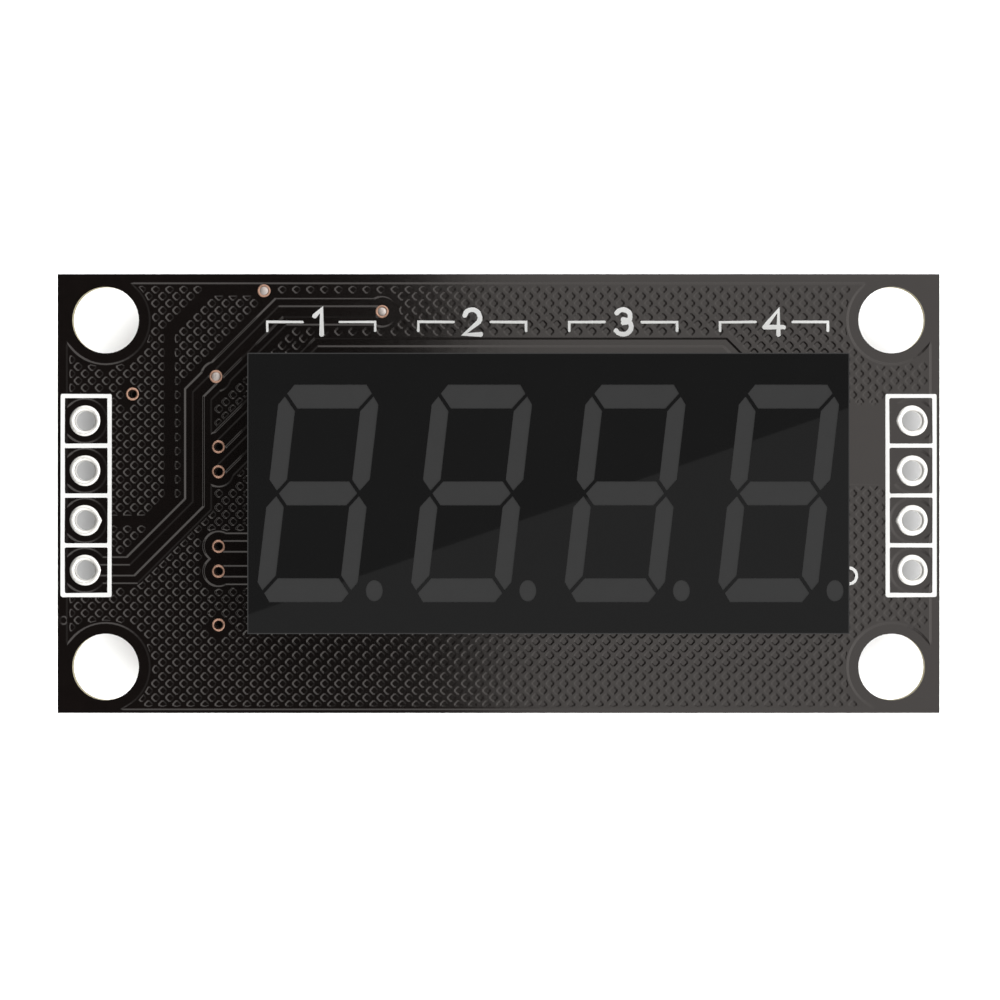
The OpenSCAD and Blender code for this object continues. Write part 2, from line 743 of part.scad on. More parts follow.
module bond_wires() {
    color("#d4a93a") wire_solids();
}

module display_potting() {
    size = [display_w - 2 * shell_t, display_d - 2 * shell_t, potting_t];
    color("#8d8a7c") difference() {
        translate([display_x, 0, potting_z]) centred_box(size);
        translate([0, 0, potting_z - past]) at_places(pin_places) cylinder(d = pin_d, h = potting_t + 2 * past);
    }
}

module display_pins() {
    color("#cfcfca") translate([0, 0, back_z - pin_reach]) at_places(pin_places) rotate_extrude() polygon([
        [0, 0], [pin_d / 2 - tip_bevel, 0], [pin_d / 2, tip_bevel],
        [pin_d / 2, block_z - back_z + pin_reach], [0, block_z - back_z + pin_reach]
    ]);
}

// Solder fills each hole and rises up the pin in a hollow cone on the back and a low rim on the front
cone_steps = 6;

module pin_solder() {
    pin_r = pin_d / 2;
    foot_r = display_pad_d / 2 - solder_skin;
    reach = foot_r - pin_r - solder_skin;
    back_cone = [for (i = [0 : cone_steps]) let (a = i * 90 / cone_steps)
        [foot_r - reach * sin(a), -pad_rise - solder_cone_h * (1 - cos(a))]];
    front_rim = [for (i = [cone_steps : -1 : 0]) let (a = i * 90 / cone_steps)
        [foot_r - reach * sin(a), board_t + pad_rise + solder_rim_h * (1 - cos(a))]];
    color("#c4c3bf") translate([0, 0, back_z]) at_places(pin_places) rotate_extrude() polygon(concat(
        [[pin_r, board_t + pad_rise + solder_rim_h], [pin_r, -pad_rise - solder_cone_h]],
        [for (i = [cone_steps : -1 : 0]) back_cone[i]],
        [[display_hole_d / 2, -pad_rise], [display_hole_d / 2, board_t + pad_rise]],
        [for (i = [cone_steps : -1 : 0]) front_rim[i]]
    ));
}

// A moulded block whose four sides slope away from the parting line at half its height
module moulded_block(size, draft) {
    profile_x = [
        [-size[0] / 2 + draft, 0], [size[0] / 2 - draft, 0], [size[0] / 2, size[2] / 2],
        [size[0] / 2 - draft, size[2]], [-size[0] / 2 + draft, size[2]], [-size[0] / 2, size[2] / 2]
    ];
    profile_y = [
        [-size[1] / 2 + draft, 0], [size[1] / 2 - draft, 0], [size[1] / 2, size[2] / 2],
        [size[1] / 2 - draft, size[2]], [-size[1] / 2 + draft, size[2]], [-size[1] / 2, size[2] / 2]
    ];
    intersection() {
        rotate([90, 0, 0]) linear_extrude(size[1] + past, center = true) polygon(profile_x);
        rotate([90, 0, 90]) linear_extrude(size[0] + past, center = true) polygon(profile_y);
    }
}

module lead_solids() {
    path = [
        [driver_w / 2 - lead_root, lead_z], [lead_shoulder, lead_z], [lead_bend, foot_z], [lead_tip, foot_z]
    ];
    for (side = [-1, 1], i = [0 : lead_count - 1])
        translate([driver_x, lead_y(i), 0]) scale([side, 1, 1])
            rotate([90, 0, 0]) linear_extrude(lead_w, center = true) polygon(strip(path, lead_t));
}

module driver_body() {
    color("#232325") on_back() difference() {
        translate([driver_x, driver_y, driver_gap]) moulded_block([driver_w, driver_l, driver_h], driver_draft);
        lead_solids();
        translate([
            driver_x - driver_w / 2 + mark_inset, driver_y + driver_l / 2 - mark_inset,
            driver_gap + driver_h - mark_depth
        ]) cylinder(d = mark_d, h = mark_depth + past);
    }
}

module driver_leads() {
    color("#c9c9c6") on_back() lead_solids();
}

module driver_solder() {
    rim_z = foot_z + solder_climb;
    mound = [
        [lead_pad_x[0], 0], [lead_pad_x[1], 0], [lead_pad_x[1], solder_t], [lead_tip, rim_z],
        [lead_bend, rim_z], [lead_pad_x[0], solder_t]
    ];
    color("#bdbcb8") on_back() difference() {
        for (side = [-1, 1], i = [0 : lead_count - 1])
            translate([driver_x, lead_y(i), 0]) scale([side, 1, 1])
                rotate([90, 0, 0]) linear_extrude(lead_pad_w, center = true) polygon(mound);
        lead_solids();
    }
}

module chip_body(size) {
    translate([0, 0, solder_t + cap_t]) centred_box([size[0] - 2 * cap_t, size[1] - 2 * cap_t, size[2] - 2 * cap_t]);
}

module chip_ends(size) {
    difference() {
        for (side = [-1, 1]) translate([side * (size[0] - cap_l) / 2, 0, solder_t])
            centred_box([cap_l, size[1], size[2]]);
        chip_body(size);
    }
}

module resistor_bodies() {
    color("#e8e6e0") on_back() for (c = resistors) translate(c[0]) chip_body(c[1]);
}

module resistor_coats() {
    color("#18181a") on_back() for (c = resistors)
        translate([c[0][0], c[0][1], solder_t + c[1][2] - cap_t])
            centred_box([c[1][0] - 2 * cap_l, c[1][1] - 2 * cap_t, cap_t]);
}

module resistor_ends() {
    color("#cfceca") on_back() for (c = resistors) translate(c[0]) chip_ends(c[1]);
}

module capacitor_bodies() {
    color("#a67c52") on_back() for (c = capacitors) translate(c[0]) chip_body(c[1]);
}

module capacitor_ends() {
    color("#cfceca") on_back() for (c = capacitors) translate(c[0]) chip_ends(c[1]);
}

// Solder under each metal end, with a slope up its outer face
module chip_solder() {
    color("#bdbcb8") on_back() for (c = chips, side = [-1, 1])
        translate(c[0]) scale([side, 1, 1]) rotate([90, 0, 0])
            linear_extrude(c[1][1], center = true) polygon([
                [c[1][0] / 2 - cap_l, 0], [c[1][0] / 2 + chip_toe, 0], [c[1][0] / 2 + chip_toe, solder_t],
                [c[1][0] / 2, solder_t + c[1][2] / 2], [c[1][0] / 2, solder_t], [c[1][0] / 2 - cap_l, solder_t]
            ]);
}

laminate_board();
front_copper();
back_copper();
front_print();
back_print();
header_pads();
open_vias();
filled_vias();
display_pads();
display_housing();
segment_windows();
diode_board();
light_diodes();
bond_wires();
display_potting();
display_pins();
pin_solder();
driver_body();
driver_leads();
driver_solder();
resistor_bodies();
resistor_coats();
resistor_ends();
capacitor_bodies();
capacitor_ends();
chip_solder();
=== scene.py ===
import math

import bpy
import numpy as np
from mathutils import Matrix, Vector
from mathutils.geometry import delaunay_2d_cdt


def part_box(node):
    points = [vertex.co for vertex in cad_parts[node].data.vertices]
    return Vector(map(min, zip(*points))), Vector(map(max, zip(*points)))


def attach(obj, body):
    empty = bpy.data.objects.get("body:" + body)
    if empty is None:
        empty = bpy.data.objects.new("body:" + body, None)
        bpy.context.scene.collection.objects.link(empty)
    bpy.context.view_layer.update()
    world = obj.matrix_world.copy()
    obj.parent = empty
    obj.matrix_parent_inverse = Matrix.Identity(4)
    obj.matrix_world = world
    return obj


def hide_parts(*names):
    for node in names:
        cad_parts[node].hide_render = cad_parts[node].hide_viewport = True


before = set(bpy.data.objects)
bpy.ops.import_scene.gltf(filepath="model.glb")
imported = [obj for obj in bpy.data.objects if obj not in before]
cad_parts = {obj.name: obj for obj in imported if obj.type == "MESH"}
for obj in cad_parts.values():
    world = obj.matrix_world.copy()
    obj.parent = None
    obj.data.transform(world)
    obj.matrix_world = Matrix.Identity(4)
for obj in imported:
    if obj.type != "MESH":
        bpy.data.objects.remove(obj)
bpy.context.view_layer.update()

# Laminate board: woven glass in epoxy, drilled and routed to size. Its two faces are lacquered black, and its
# edges and the walls of its mounting holes show the bare, pale yellow laminate.
MM = 0.001
BOARD_LOW, BOARD_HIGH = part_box("laminate_board")
LAMINATE = (0.72, 0.66, 0.42, 1)
LAMINATE_BAND = (0.6, 0.54, 0.33, 1)
LACQUER = (0.0058, 0.0042, 0.0038, 1)


class Finish:
    """A material, its Principled shader, and short ways to add and join nodes."""

    def __init__(self, name, sockets):
        self.material = bpy.data.materials.new(name)
        self.material.use_nodes = True
        self.tree = self.material.node_tree
        self.shader = self.tree.nodes["Principled BSDF"]
        for label, value in sockets.items():
            self.shader.inputs[label].default_value = value

    def add(self, kind, sockets=None, **settings):
        node = self.tree.nodes.new(kind)
        for label, value in settings.items():
            setattr(node, label, value)
        for label, value in (sockets or {}).items():
            node.inputs[label].default_value = value
        return node

    def join(self, output, socket):
        self.tree.links.new(output, socket)
        return output

    def grain(self, color, spread, size, roughness, roughness_spread, relief):
        """Feeds the shader from the mottle group, with its size in mm and its relief in micrometres."""
        node = self.add("ShaderNodeGroup", node_tree=mottle)
        values = {"Color": color, "Spread": spread, "Size": size, "Roughness": roughness,
                  "Roughness Spread": roughness_spread, "Relief": relief}
        for label, value in values.items():
            node.inputs[label].default_value = value
        for label in ("Roughness", "Normal"):
            self.join(node.outputs[label], self.shader.inputs[label])
        self.join(node.outputs["Color"], self.shader.inputs["Base Color"])
        return node

    def dress(self, *pieces):
        for piece in pieces:
            piece.data.materials.clear()
            piece.data.materials.append(self.material)


def shader_group(name, inputs, outputs):
    """A shader node group with sockets made from (label, kind, value) and (label, kind)."""
    tree = bpy.data.node_groups.new(name, "ShaderNodeTree")
    for label, kind, value in inputs:
        tree.interface.new_socket(label, in_out="INPUT", socket_type=kind).default_value = value
    for label, kind in outputs:
        tree.interface.new_socket(label, in_out="OUTPUT", socket_type=kind)
    return tree, tree.nodes.new("NodeGroupInput"), tree.nodes.new("NodeGroupOutput")


def mottle_group():
    """Cloudy variation of colour and roughness, with a fine relief in the surface."""
    tree, given, result = shader_group(
        "mottle",
        [("Color", "NodeSocketColor", (0.5, 0.5, 0.5, 1)), ("Spread", "NodeSocketFloat", 0.1),
         ("Size", "NodeSocketFloat", 1.0), ("Roughness", "NodeSocketFloat", 0.5),
         ("Roughness Spread", "NodeSocketFloat", 0.05), ("Relief", "NodeSocketFloat", 1.0)],
        [("Color", "NodeSocketColor"), ("Roughness", "NodeSocketFloat"), ("Normal", "NodeSocketVector")],
    )

    def math_node(operation, first, second, third=None):
        node = tree.nodes.new("ShaderNodeMath")
        node.operation = operation
        for socket, value in zip(node.inputs, (first, second, third)):
            if isinstance(value, bpy.types.NodeSocket):
                tree.links.new(value, socket)
            elif value is not None:
                socket.default_value = value
        return node.outputs[0]

    place = tree.nodes.new("ShaderNodeTexCoord").outputs["Object"]
    density = math_node("DIVIDE", 1 / MM, given.outputs["Size"])
    clouds, specks = tree.nodes.new("ShaderNodeTexNoise"), tree.nodes.new("ShaderNodeTexNoise")
    for node, factor, detail in ((clouds, 1, 4), (specks, 4.3, 2)):
        node.inputs["Detail"].default_value = detail
        tree.links.new(place, node.inputs["Vector"])
        tree.links.new(math_node("MULTIPLY", density, factor), node.inputs["Scale"])
    cloud_swing = math_node("MULTIPLY_ADD", clouds.outputs[0], 2, -1)
    speck_swing = math_node("MULTIPLY_ADD", specks.outputs[0], 2, -1)
    tint = tree.nodes.new("ShaderNodeHueSaturation")
    tree.links.new(given.outputs["Color"], tint.inputs["Color"])
    tree.links.new(math_node("MULTIPLY_ADD", cloud_swing, given.outputs["Spread"], 1), tint.inputs["Value"])
    tree.links.new(tint.outputs[0], result.inputs["Color"])
    rough = math_node("MULTIPLY_ADD", speck_swing, given.outputs["Roughness Spread"], given.outputs["Roughness"])
    tree.links.new(rough, result.inputs["Roughness"])
    bump = tree.nodes.new("ShaderNodeBump")
    tree.links.new(math_node("MULTIPLY_ADD", speck_swing, 0.25, cloud_swing), bump.inputs["Height"])
    tree.links.new(math_node("MULTIPLY", given.outputs["Relief"], MM * MM), bump.inputs["Distance"])
    tree.links.new(bump.outputs[0], result.inputs["Normal"])
    return tree


mottle = mottle_group()

board_finish = Finish("routed_laminate", {"IOR": 1.5})
board_grain = board_finish.grain(LAMINATE, 0.12, 0.25, 0.62, 0.1, 6)
facing = board_finish.add("ShaderNodeNewGeometry")
facing_parts = board_finish.add("ShaderNodeSeparateXYZ")
board_finish.join(facing.outputs["Normal"], facing_parts.inputs[0])
level = board_finish.add("ShaderNodeMath", operation="ABSOLUTE")
board_finish.join(facing_parts.outputs["Z"], level.inputs[0])
on_face = board_finish.add("ShaderNodeMath", {1: 0.5}, operation="GREATER_THAN")
board_finish.join(level.outputs[0], on_face.inputs[0])
layers = board_finish.add("ShaderNodeTexWave", {"Scale": 1.1 / MM, "Distortion": 1.5}, bands_direction="Z")
board_finish.join(board_finish.add("ShaderNodeTexCoord").outputs["Object"], layers.inputs["Vector"])
edge_mix = board_finish.add("ShaderNodeMix", {7: LAMINATE_BAND}, data_type="RGBA")
board_finish.join(layers.outputs["Fac"], edge_mix.inputs["Factor"])
board_finish.join(board_grain.outputs["Color"], edge_mix.inputs[6])
face_mix = board_finish.add("ShaderNodeMix", {7: LACQUER}, data_type="RGBA")
board_finish.join(on_face.outputs[0], face_mix.inputs["Factor"])
board_finish.join(edge_mix.outputs[2], face_mix.inputs[6])
board_finish.join(face_mix.outputs[2], board_finish.shader.inputs["Base Color"])
board_finish.dress(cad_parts["laminate_board"])

# Lacquered copper: one coat of glossy black lacquer over each etched face. The lacquer dips over the edges of
# the tracks and into every opening of the hatched ground area, which shows as fine lines of light. Sizes are in mm.
# COPPER_STEPS pair a distance inside the copper's edge with a share of its rise, PIT_STEPS a pit's scale with one.
LACQUER_FILM = 0.034
COPPER_STEPS = ((0.03, 1.0), (0.006, 0.89), (-0.056, 0.11), (-0.08, 0.0))
PIT_STEPS = ((1.0, 1.0), (0.92, 0.94), (0.68, 0.32), (0.58, 0.25))
HATCH_PITCH = 0.508 / math.sqrt(2)
HATCH_START = (1.05, 5.46)
PIT_REACH = 0.28
PIT_CORNER = 0.055
PIT_SMALLEST = 0.45
HATCH_RIM = 0.1
VIA_RIM = 0.07
PAD_TUCK = 0.01
PAD_APRON = 0.05
DIMPLE_R = 0.2
DIMPLE_SHARE = 0.4
BUMP_R = 0.17
FLAT_EDGE = 0.06
EDGE_TIP = 0.1
STRIP_HALF = 0.25
SMOOTH_RIM = (2.8, 5.5, 0.85)
RIM_MATCH = 0.02
PAD_CLEAR = 0.03
GROUND_STRIP = ((-21.1, -1.37), (-17.94, -1.37), (-16.77, -0.2), (-16.77, 8.37), (-14.8, 10.34), (-11.97, 10.34))
COVERED_RING = (-22.19, -6.47)
SMOOTH_PAST = (0.3, 0.68, 0.91)


def mesh_points(node):
    """A CAD node's corners without doubles, in mm, and its triangles."""
    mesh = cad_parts[node].data
    mesh.calc_loop_triangles()
    points = np.empty(len(mesh.vertices) * 3)
    mesh.vertices.foreach_get("co", points)
    triangles = np.empty(len(mesh.loop_triangles) * 3, np.int64)
    mesh.loop_triangles.foreach_get("vertices", triangles)
    keys, same = np.unique(np.round(points.reshape(-1, 3) * 1e7).astype(np.int64), axis=0, return_inverse=True)
    return keys / 1e4, same.ravel()[triangles].reshape(-1, 3)


def round_pieces(node):
    """Middle (x, y), inner and outer radius of each round piece of a CAD node, seen from above."""
    points, triangles = mesh_points(node)
    label = np.arange(len(points))
    while True:
        lowest = label[triangles].min(1)
        spread = label.copy()
        np.minimum.at(spread, triangles.ravel(), np.repeat(lowest, 3))
        spread = spread[spread]
        if (spread == label).all():
            break
        label = spread
    found = []
    for one in np.unique(label):
        own = points[label == one, :2]
        middle = (own.min(0) + own.max(0)) / 2
        reach = np.hypot(*(own - middle).T)
        found.append((middle, reach.min(), reach.max()))
    return found


def chains(edges):
    """Closed rings of point numbers from directed edges."""
    onward = {}
    for a, b in edges:
        onward.setdefault(a, []).append(b)
    rings = []
    while onward:
        start = next(iter(onward))
        ring, here = [], start
        while here in onward:
            ring.append(here)
            following = onward[here].pop()
            if not onward[here]:
                del onward[here]
            here = following
        rings.append(ring)
    return rings


def open_edges(triangles):
    """The directed edges that only one triangle has."""
    edges = {(t[k], t[(k + 1) % 3]) for t in triangles for k in range(3)}
    return [edge for edge in edges if edge[::-1] not in edges]


def face_rings(node, up):
    """The outlines of a CAD node's upper (up = 1) or lower face, with the material on their left from above."""
    points, triangles = mesh_points(node)
    level = points[:, 2].max() if up > 0 else points[:, 2].min()
    flat = triangles[(abs(points[triangles][:, :, 2] - level) < 1e-3).all(1)]
    if up < 0:
        flat = flat[:, ::-1]
    return [points[ring, :2] for ring in chains(open_edges(flat.tolist()))]


def with_tips(ring):
    """The same ring with a point near both ends of each long edge."""
    points = []
    for a, b in zip(ring, np.roll(ring, -1, 0)):
        tip = (b - a) * EDGE_TIP / np.linalg.norm(b - a)
        points += [a, a + tip, b - tip] if np.linalg.norm(b - a) > 4 * EDGE_TIP else [a]
    return np.array(points)


def sideways(ring, distance):
    """A ring moved to its left by a distance, with mitred corners. A sharp corner bends only its edges' tips."""
    ring = with_tips(ring)

    def left(a, b):
        run = b - a
        return np.stack((-run[:, 1], run[:, 0]), 1) / np.linalg.norm(run, axis=1)[:, None]
    before, after = left(np.roll(ring, 1, 0), ring), left(ring, np.roll(ring, -1, 0))
    return ring + distance * (before + after) / (1 + (before * after).sum(1))[:, None].clip(0.5)


def segments_of(rings):
    return np.concatenate([np.stack((ring, np.roll(ring, -1, 0)), 1) for ring in rings])


def nearest(points, segments):
    """Distance from each point to the nearest segment, and the direction away from it."""
    start, run = segments[:, 0], segments[:, 1] - segments[:, 0]
    length = (run ** 2).sum(1).clip(1e-12)
    distances, directions = [], []
    for part in np.array_split(points, max(1, len(points) // 1000)):
        along = ((part[:, None] - start) * run).sum(2) / length
        gap = part[:, None] - start - along.clip(0, 1)[:, :, None] * run
        size = np.linalg.norm(gap, axis=2)
        best = size.argmin(1)
        rows = np.arange(len(part))
        distances.append(size[rows, best])
        directions.append(gap[rows, best] / size[rows, best].clip(1e-9)[:, None])
    return np.concatenate(distances), np.concatenate(directions)


def inside(points, segments):
    """True where a point is inside closed outlines, by the even-odd rule."""
    a, b = segments[:, 0], segments[:, 1]
    x, y = points[:, 0, None], points[:, 1, None]
    crosses = (a[:, 1] > y) != (b[:, 1] > y)
    rise = np.where(b[:, 1] == a[:, 1], 1, b[:, 1] - a[:, 1])
    return (crosses & (x < a[:, 0] + (y - a[:, 1]) / rise * (b[:, 0] - a[:, 0]))).sum(1) % 2 == 1


def circle(middle, radius, steps=48):
    angles = np.arange(steps) * 2 * math.pi / steps
    return middle + radius * np.stack((np.cos(angles), np.sin(angles)), 1)


def rounded_box(low, high, radius, steps=4):
    """A rectangle with round corners."""
    ring = []
    for k, (x, y) in enumerate(((high[0], low[1]), (high[0], high[1]), (low[0], high[1]), (low[0], low[1]))):
        centre = (x - radius * (1 if x == high[0] else -1), y - radius * (1 if y == high[1] else -1))
        for step in range(steps + 1):
            angle = (k - 1) * math.pi / 2 + step * math.pi / 2 / steps
            ring.append((centre[0] + radius * math.cos(angle), centre[1] + radius * math.sin(angle)))
    return np.array(ring)


def ring_area(ring):
    """Area of a ring, below zero where it turns clockwise."""
    x, y = np.array(ring).T
    return (x * np.roll(y, -1) - np.roll(x, -1) * y).sum() / 2


def hatch_pits(rings, sides, strip, circles, bare_boxes):
    """The openings of the hatched ground area, each cut back to the copper's rim, the strip and the vias."""
    areas = [ring_area(ring) for ring in rings]
    ground = segments_of([ring for ring, area in zip(rings, areas) if area < 0 or area == max(areas)])
    low, high = np.array(BOARD_LOW)[:2] / MM, np.array(BOARD_HIGH)[:2] / MM
    count = ((high - low) / HATCH_PITCH).astype(int) + 2
    grid = np.array([(i, j) for i in range(-3, count[0]) for j in range(-16, count[1]) if (i + j) % 2 == 0])
    middles = low + HATCH_START + grid * HATCH_PITCH
    keep = inside(middles, ground)
    for centre, radius in circles:
        keep &= np.hypot(*(middles - centre).T) > radius + 2 * VIA_RIM
    for box_low, box_high in bare_boxes:
        keep &= ~((middles > box_low) & (middles < box_high)).all(1)
    if len(strip):
        keep &= nearest(middles, strip)[0] > STRIP_HALF
    middles = middles[keep]
    a, c = PIT_REACH - PIT_CORNER, PIT_CORNER
    shape = np.array([(a, -c), (a, c), (c, a), (-c, a), (-a, c), (-a, -c), (-c, -a), (c, -a)])
    middles = middles[nearest(middles, sides)[0] > HATCH_RIM]
    corners = (middles[:, None] + shape).reshape(-1, 2)
    hearts = np.repeat(middles, len(shape), 0)
    for _ in range(2):
        distance, away = nearest(corners, sides)
        side = np.where(inside(corners, ground), 1, -1)
        corners += away * (side * (HATCH_RIM - side * distance).clip(0))[:, None]
        if len(strip):
            distance, away = nearest(corners, strip)
            side = np.sign((away * nearest(hearts, strip)[1]).sum(1))
            corners += away * (side * (STRIP_HALF - side * distance).clip(0))[:, None]
        for centre, radius in circles:
            gap = corners - centre
            size = np.hypot(*gap.T).clip(1e-9)
            corners += gap * ((radius + VIA_RIM - size).clip(0) / size)[:, None]
    outlines = corners.reshape(-1, len(shape), 2)
    return [ring for ring in outlines if ring_area(ring) > PIT_SMALLEST * ring_area(shape)]


def solid(name, points, triangles, heights, base, up):
    """A closed mesh from a triangulated sheet, its heights, and a flat base under it, all in mm."""
    rim = open_edges(triangles)
    number = {v: k for k, v in enumerate(dict.fromkeys(v for edge in rim for v in edge))}
    below = [points[v] for v in number]
    floor = delaunay_2d_cdt([Vector(p) for p in below], [(number[a], number[b]) for a, b in rim], [], 0, 1e-7)
    sheet = segments_of([np.array([points[v] for v in ring]) for ring in chains(rim)])
    middles = np.array([[sum(floor[0][v][k] for v in t) / 3 for k in (0, 1)] for t in floor[2]])
    kept = [t for t, within in zip(floor[2], inside(middles, sheet)) if within]
    origin = [own[0] for own in floor[3]]
    count = len(points)
    corners = [(*p, h) for p, h in zip(points, heights)] + [(*p, base) for p in below]
    faces = [tuple(t) for t in triangles]
    faces += [(b, a, count + number[a], count + number[b]) for a, b in rim]
    faces += [tuple(count + origin[v] for v in reversed(t)) for t in kept]
    if up < 0:
        faces = [face[::-1] for face in faces]
    mesh = bpy.data.meshes.new(name)
    mesh.from_pydata([tuple(v * MM for v in p) for p in corners], [], faces)
    mesh.validate()
    piece = bpy.data.objects.new(name, mesh)
    bpy.context.scene.collection.objects.link(piece)
    return piece


def lacquer_coat(name, copper, up, strip_path, bare_boxes, open_pads, covered_pads, bumps=(), flat=()):
    """The lacquered face of the board: level over the copper, lower beside it, with a slope between them.
    It stops at the open pads, and closes over the covered ones with a dimple at each hole. Bumps are small covered
    rings, and no copper shows in the flat boxes."""
    base = (BOARD_HIGH.z if up > 0 else BOARD_LOW.z) / MM
    top = (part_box(copper)[1].z if up > 0 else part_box(copper)[0].z) / MM
    rise = abs(top - base) - LACQUER_FILM
    rings = face_rings(copper, up) + [circle(np.array(spot), BUMP_R, 16) for spot in bumps]
    flat = [(np.array(low), np.array(high)) for low, high in flat]
    board_rings = sorted(face_rings("laminate_board", up), key=lambda ring: -np.ptp(ring, axis=0).max())
    cut_rings = [ring for ring in board_rings[1:] if np.ptp(ring[:, 0]) > 2]
    pads = [(p[0], p[2]) for node in open_pads for p in round_pieces(node)]
    covered = [(p[0], p[2]) for node in covered_pads for p in round_pieces(node)]
    sides = segments_of(rings)
    middles = sides.mean(1)
    free = np.ones(len(sides), bool)
    for centre, radius in pads + covered:
        free &= abs(np.hypot(*(middles - centre).T) - radius) > RIM_MATCH
    sides = sides[free]
    path = np.array(strip_path)
    strip = np.stack((path[:-1], path[1:]), 1) if len(path) else np.empty((0, 2, 2))
    pits = hatch_pits(rings, sides, strip, pads + covered, bare_boxes)

    def level(points):
        """Share of the copper's rise at each point, away from the hatch."""
        points = np.array(points)
        for centre, radius in pads:
            reach = points - centre
            size = np.hypot(*reach.T)
            near = size < radius + PAD_CLEAR
            points[near] = centre + reach[near] / size[near, None].clip(1e-9) * (radius + PAD_CLEAR)
        signed = nearest(points, sides)[0] * np.where(inside(points, segments_of(rings)), 1, -1)
        for centre, radius in covered:
            signed = np.maximum(signed, radius - np.hypot(*(points - centre).T))
        steps = sorted(COPPER_STEPS)
        share = np.interp(signed, [s[0] for s in steps], [s[1] for s in steps])
        for centre, _ in covered:
            share[np.hypot(*(points - centre).T) < DIMPLE_R] = DIMPLE_SHARE
        for low, high in flat:
            share[((points > low + FLAT_EDGE / 2) & (points < high - FLAT_EDGE / 2)).all(1)] = 1
        return share

    loops = [(sideways(ring, step), None) for ring in rings for step, _ in COPPER_STEPS]
    for outline in pits:
        heart = outline.mean(0)
        loops += [(heart + (outline - heart) * scale, share) for scale, share in PIT_STEPS]
    loops += [(ring, 0.0) for ring in board_rings[:1] + cut_rings]
    for low, high in flat:
        loops += [(rounded_box(low + step, high - step, 0.1, 1), None) for step in (0, FLAT_EDGE)]
    for centre, radius in pads:
        loops += [(circle(centre, radius - PAD_TUCK), None), (circle(centre, radius + PAD_APRON), None)]
    for centre, radius in covered:
        loops += [(circle(centre, radius - step), None) for step, _ in COPPER_STEPS]
        loops += [(circle(centre, DIMPLE_R * scale), None) for scale in (1.2, 0.8)]
    points, edges, shares = [], [], []
    for ring, share in loops:
        first = len(points)
        points += [Vector(p) for p in ring]
        edges += [(first + k, first + (k + 1) % len(ring)) for k in range(len(ring))]
        shares += [share] * len(ring)
    places, _, triangles, origins, _, _ = delaunay_2d_cdt(points, edges, [], 0, 1e-6)
    known = [next((shares[v] for v in own if shares[v] is not None), None) for own in origins]
    open_ends = [k for k, share in enumerate(known) if share is None]
    for k, share in zip(open_ends, level([places[k] for k in open_ends])):
        known[k] = share
    spots = np.array(places)
    corners = spots[np.array(triangles)]
    middles = corners.mean(1)
    keep = ~inside(middles, segments_of(cut_rings))
    for centre, radius in pads:
        keep &= np.hypot(*(middles - centre).T) > radius - PAD_TUCK
    run, other = corners[:, 1] - corners[:, 0], corners[:, 2] - corners[:, 0]
    keep &= abs(run[:, 0] * other[:, 1] - run[:, 1] * other[:, 0]) > 1e-9
    kept = [t for t, stays in zip(triangles, keep) if stays]
    heights = [base + up * (LACQUER_FILM + rise * share) for share in known]
    piece = solid(name, [tuple(p) for p in places], kept, heights, base, up)
    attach(piece, "root")
    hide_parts(copper)
    return piece


header_spots = sorted((tuple(p[0]) for p in round_pieces("header_pads")), key=lambda p: (p[0], -p[1]))
HOUSING_LOW, HOUSING_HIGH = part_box("display_housing")
PRINT_LOW, PRINT_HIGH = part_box("front_print")
BOX_W = 2.6
box_middle = PRINT_HIGH.x / MM - BOX_W / 2
box_low, box_high = PRINT_LOW.y / MM, PRINT_HIGH.y / MM
housing_low = np.array(HOUSING_LOW)[:2] / MM
housing_high = np.array(HOUSING_HIGH)[:2] / MM
smooth_low = (housing_high[0] - SMOOTH_PAST[0], header_spots[1][1] - SMOOTH_PAST[1])
smooth_high = (box_middle, header_spots[0][1] + SMOOTH_PAST[2])
header_boxes = [
    ((side * box_middle - BOX_W / 2, box_low), (side * box_middle + BOX_W / 2, box_high)) for side in (-1, 1)
]
rim_low = (housing_low[0] + SMOOTH_RIM[0], housing_high[1])
rim_high = (housing_high[0] - SMOOTH_RIM[1], housing_high[1] + SMOOTH_RIM[2])
front_bare = header_boxes + [(housing_low, housing_high), (smooth_low, smooth_high), (rim_low, rim_high)]
VIAS = ("open_vias", "filled_vias")
front_lacquer = lacquer_coat("front_lacquer", "front_copper", 1, GROUND_STRIP, front_bare,
                             ("header_pads", "display_pads", *VIAS), (), (COVERED_RING,),
                             ((smooth_low, smooth_high),))
back_lacquer = lacquer_coat("back_lacquer", "back_copper", -1, (), header_boxes,
                            ("header_pads", "display_pads"), VIAS)
lacquer_finish = Finish("black_lacquer", {"IOR": 1.5, "Specular Tint": (1.0, 0.94, 0.9, 1)})
lacquer_finish.grain(LACQUER, 0.25, 0.7, 0.07, 0.015, 0.25)
lacquer_finish.dress(front_lacquer, back_lacquer)

# White print: ink screened on the lacquer in thin lines. Boxes stand round the two header rows, a small ring
# half under the housing, and plain numerals with brackets over the digits.
INK_W = 0.21
BOX_CORNER = 0.1
CELL_CORNER = 0.07
NUMERAL_H = 1.5
NUMERAL_W = 0.24
NUMERAL_Y = 8.75
DIGIT_PITCH = 7.70
BRACKET_IN = 0.95
BRACKET_OUT = 2.75
BRACKET_TICK = 0.45
INK_EDGE = 0.008
RING_R = 0.49
RING_W = 0.15
RING_GAP = 0.25
RING_Y = -4.2
RING_PLAY = 0.03
chance = np.random.default_rng(7)


